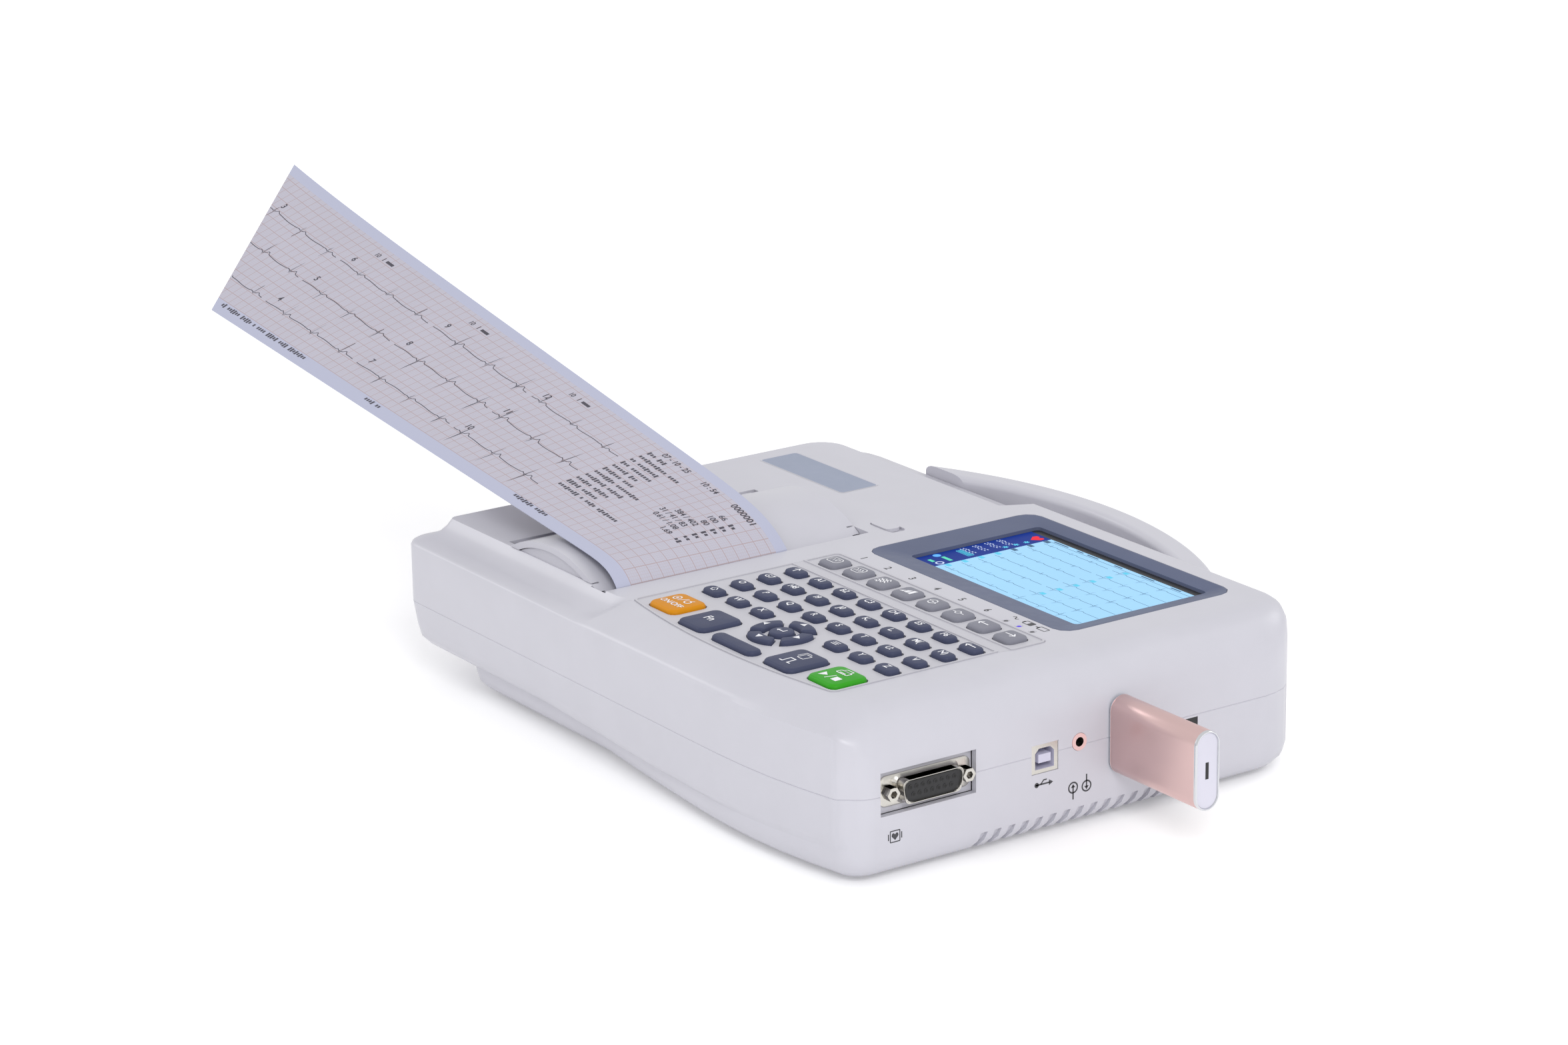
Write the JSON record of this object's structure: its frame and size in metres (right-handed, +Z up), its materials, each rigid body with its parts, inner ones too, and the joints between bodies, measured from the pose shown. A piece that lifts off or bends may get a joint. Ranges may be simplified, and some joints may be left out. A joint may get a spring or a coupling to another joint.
{
  "type": "ecg machine",
  "caption": "Portable strip-printing ECG recorder with keyboard, colour display, hinged paper door, carry handle and side ports.",
  "frame": {"origin": "point on the flat underside, midway between the side walls and level with the function keys", "axes": "+X to the user's right along the front wall, +Y towards the handle at the back, +Z up"},
  "size_m": [0.6209, 0.2462, 0.1483],
  "materials": {
    "case_white": "satin",
    "case_white_lower": "satin",
    "bezel_slate": "satin",
    "window_glass": "clear",
    "metal": "satin",
    "key_slate": "satin",
    "key_grey": "satin",
    "key_orange": "satin",
    "key_green": "satin",
    "silicone": "matte",
    "board_green": "satin",
    "battery_blue": "satin",
    "inner_grey": "matte",
    "black_plastic": "satin",
    "motor_steel": "satin",
    "gear_nylon": "matte",
    "label_grey": "satin",
    "nickel": "polished",
    "gold": "polished",
    "rubber_black": "matte",
    "rubber_grey": "matte",
    "paper": "matte",
    "rose_metal": "satin",
    "led_clear": "clear"
  },
  "bodies": {
    "case": {"top_case": "case_white", "bottom_case": "case_white_lower", "carry_handle": "case_white", "keypad_panel": "case_white", "lcd_bezel": "bezel_slate", "lcd_window": "window_glass", "lcd_module": "metal", "keypad_mat": "silicone", "main_board": "board_green", "battery_pack": "battery_blue", "battery_door": "case_white_lower", "printer_chassis": "inner_grey", "drive_motor": "motor_steel", "door_hinge_pin": "metal", "label_inlay": "label_grey", "patient_connector": "nickel", "usb_b_port": "nickel", "aux_jack": "gold", "usb_a_port": "nickel", "lan_port": "black_plastic", "status_leds": "led_clear", "rubber_feet": "rubber_grey", "case_screws": "metal", "ac_inlet": "black_plastic", "ground_terminal": "nickel"},
    "door": {"printer_door": "case_white", "print_head": "metal"},
    "paper": {"paper_strip": "paper"},
    "platen": {"platen_roller": "rubber_black"},
    "idler": {"idler_gear": "gear_nylon"},
    "pinion": {"motor_pinion": "gear_nylon"},
    "roll": {"paper_roll": "paper"},
    "latch": {"door_latch": "case_white"},
    "stick": {"usb_stick": "rose_metal"},
    "key_id": {"key_id": "key_grey"},
    "key_speed": {"key_speed": "key_grey"},
    "key_filter": {"key_filter": "key_grey"},
    "key_gain": {"key_gain": "key_grey"},
    "key_mode": {"key_mode": "key_grey"},
    "key_reset": {"key_reset": "key_grey"},
    "key_page_back": {"key_page_back": "key_grey"},
    "key_page_on": {"key_page_on": "key_grey"},
    "key_esc": {"key_esc": "key_slate"},
    "key_caps": {"key_caps": "key_slate"},
    "key_menu": {"key_menu": "key_slate"},
    "key_backspace": {"key_backspace": "key_slate"},
    "key_left": {"key_left": "key_slate"},
    "key_right": {"key_right": "key_slate"},
    "key_up": {"key_up": "key_slate"},
    "key_down": {"key_down": "key_slate"},
    "key_enter": {"key_enter": "key_slate"},
    "key_on_off": {"key_on_off": "key_orange"},
    "key_fn": {"key_fn": "key_slate"},
    "key_space": {"key_space": "key_slate"},
    "key_copy": {"key_copy": "key_slate"},
    "key_start_stop": {"key_start_stop": "key_green"},
    "keys_a_to_f": {"keys_a_to_f": "key_slate"},
    "keys_g_to_n": {"keys_g_to_n": "key_slate"},
    "keys_o_to_v": {"keys_o_to_v": "key_slate"},
    "keys_w_to_z": {"keys_w_to_z": "key_slate"}
  },
  "joints": [
    {"name": "door_hinge", "type": "hinge", "parent": "case", "child": "door", "pos_m": [-0.1, -0.0274, 0.06], "axis": [0, -1, 0], "range_deg": [0, 80]},
    {"name": "paper_bend", "type": "hinge", "parent": "door", "child": "paper", "pos_m": [-0.02745, -0.0439, 0.0558], "axis": [0, -1, 0], "range_deg": [-80, 0]},
    {"name": "roll_spin", "type": "hinge", "parent": "case", "child": "roll", "pos_m": [-0.066, -0.0439, 0.036], "axis": [0, 1, 0], "continuous": true},
    {"name": "platen_spin", "type": "hinge", "parent": "case", "child": "platen", "pos_m": [-0.031, -0.0439, 0.0445], "axis": [0, 1, 0], "continuous": true},
    {"name": "idler_spin", "type": "hinge", "parent": "case", "child": "idler", "pos_m": [-0.04304, 0.0055, 0.03112], "axis": [0, 1, 0], "continuous": true},
    {"name": "pinion_spin", "type": "hinge", "parent": "case", "child": "pinion", "pos_m": [-0.05754, 0.0055, 0.02436], "axis": [0, 1, 0], "continuous": true},
    {"name": "latch_slide", "type": "slide", "parent": "case", "child": "latch", "axis": [1, 0, 0], "range_m": [0, 0.003], "stiffness_N_per_m": 300},
    {"name": "stick_pull", "type": "slide", "parent": "case", "child": "stick", "axis": [1, 0, 0], "range_m": [0, 0.0115]},
    {"name": "press_id", "type": "slide", "parent": "case", "child": "key_id", "axis": [0, 0, -1], "range_m": [0, 0.0012], "stiffness_N_per_m": 400},
    {"name": "press_speed", "type": "slide", "parent": "case", "child": "key_speed", "axis": [0, 0, -1], "range_m": [0, 0.0012], "stiffness_N_per_m": 400},
    {"name": "press_filter", "type": "slide", "parent": "case", "child": "key_filter", "axis": [0, 0, -1], "range_m": [0, 0.0012], "stiffness_N_per_m": 400},
    {"name": "press_gain", "type": "slide", "parent": "case", "child": "key_gain", "axis": [0, 0, -1], "range_m": [0, 0.0012], "stiffness_N_per_m": 400},
    {"name": "press_mode", "type": "slide", "parent": "case", "child": "key_mode", "axis": [0, 0, -1], "range_m": [0, 0.0012], "stiffness_N_per_m": 400},
    {"name": "press_reset", "type": "slide", "parent": "case", "child": "key_reset", "axis": [0, 0, -1], "range_m": [0, 0.0012], "stiffness_N_per_m": 400},
    {"name": "press_page_back", "type": "slide", "parent": "case", "child": "key_page_back", "axis": [0, 0, -1], "range_m": [0, 0.0012], "stiffness_N_per_m": 400},
    {"name": "press_page_on", "type": "slide", "parent": "case", "child": "key_page_on", "axis": [0, 0, -1], "range_m": [0, 0.0012], "stiffness_N_per_m": 400},
    {"name": "press_esc", "type": "slide", "parent": "case", "child": "key_esc", "axis": [0, 0, -1], "range_m": [0, 0.0012], "stiffness_N_per_m": 400},
    {"name": "press_caps", "type": "slide", "parent": "case", "child": "key_caps", "axis": [0, 0, -1], "range_m": [0, 0.0012], "stiffness_N_per_m": 400},
    {"name": "press_menu", "type": "slide", "parent": "case", "child": "key_menu", "axis": [0, 0, -1], "range_m": [0, 0.0012], "stiffness_N_per_m": 400},
    {"name": "press_backspace", "type": "slide", "parent": "case", "child": "key_backspace", "axis": [0, 0, -1], "range_m": [0, 0.0012], "stiffness_N_per_m": 400},
    {"name": "press_left", "type": "slide", "parent": "case", "child": "key_left", "axis": [0, 0, -1], "range_m": [0, 0.0012], "stiffness_N_per_m": 400},
    {"name": "press_right", "type": "slide", "parent": "case", "child": "key_right", "axis": [0, 0, -1], "range_m": [0, 0.0012], "stiffness_N_per_m": 400},
    {"name": "press_up", "type": "slide", "parent": "case", "child": "key_up", "axis": [0, 0, -1], "range_m": [0, 0.0012], "stiffness_N_per_m": 400},
    {"name": "press_down", "type": "slide", "parent": "case", "child": "key_down", "axis": [0, 0, -1], "range_m": [0, 0.0012], "stiffness_N_per_m": 400},
    {"name": "press_enter", "type": "slide", "parent": "case", "child": "key_enter", "axis": [0, 0, -1], "range_m": [0, 0.0012], "stiffness_N_per_m": 400},
    {"name": "press_on_off", "type": "slide", "parent": "case", "child": "key_on_off", "axis": [0, 0, -1], "range_m": [0, 0.0012], "stiffness_N_per_m": 400},
    {"name": "press_fn", "type": "slide", "parent": "case", "child": "key_fn", "axis": [0, 0, -1], "range_m": [0, 0.0012], "stiffness_N_per_m": 400},
    {"name": "press_space", "type": "slide", "parent": "case", "child": "key_space", "axis": [0, 0, -1], "range_m": [0, 0.0012], "stiffness_N_per_m": 400},
    {"name": "press_copy", "type": "slide", "parent": "case", "child": "key_copy", "axis": [0, 0, -1], "range_m": [0, 0.0012], "stiffness_N_per_m": 400},
    {"name": "press_start_stop", "type": "slide", "parent": "case", "child": "key_start_stop", "axis": [0, 0, -1], "range_m": [0, 0.0012], "stiffness_N_per_m": 400},
    {"name": "row_a_to_f", "type": "slide", "parent": "case", "child": "keys_a_to_f", "axis": [0, 0, -1], "range_m": [0, 0.0012], "stiffness_N_per_m": 2400},
    {"name": "row_g_to_n", "type": "slide", "parent": "case", "child": "keys_g_to_n", "axis": [0, 0, -1], "range_m": [0, 0.0012], "stiffness_N_per_m": 3200},
    {"name": "row_o_to_v", "type": "slide", "parent": "case", "child": "keys_o_to_v", "axis": [0, 0, -1], "range_m": [0, 0.0012], "stiffness_N_per_m": 3200},
    {"name": "row_w_to_z", "type": "slide", "parent": "case", "child": "keys_w_to_z", "axis": [0, 0, -1], "range_m": [0, 0.0012], "stiffness_N_per_m": 1600}
  ],
  "couplings": [
    {"joint": "paper_bend", "follows": "door_hinge", "ratio": -1},
    {"joint": "platen_spin", "follows": "roll_spin", "ratio": 4},
    {"joint": "idler_spin", "follows": "roll_spin", "ratio": -3.2},
    {"joint": "pinion_spin", "follows": "roll_spin", "ratio": 5.3333}
  ]
}
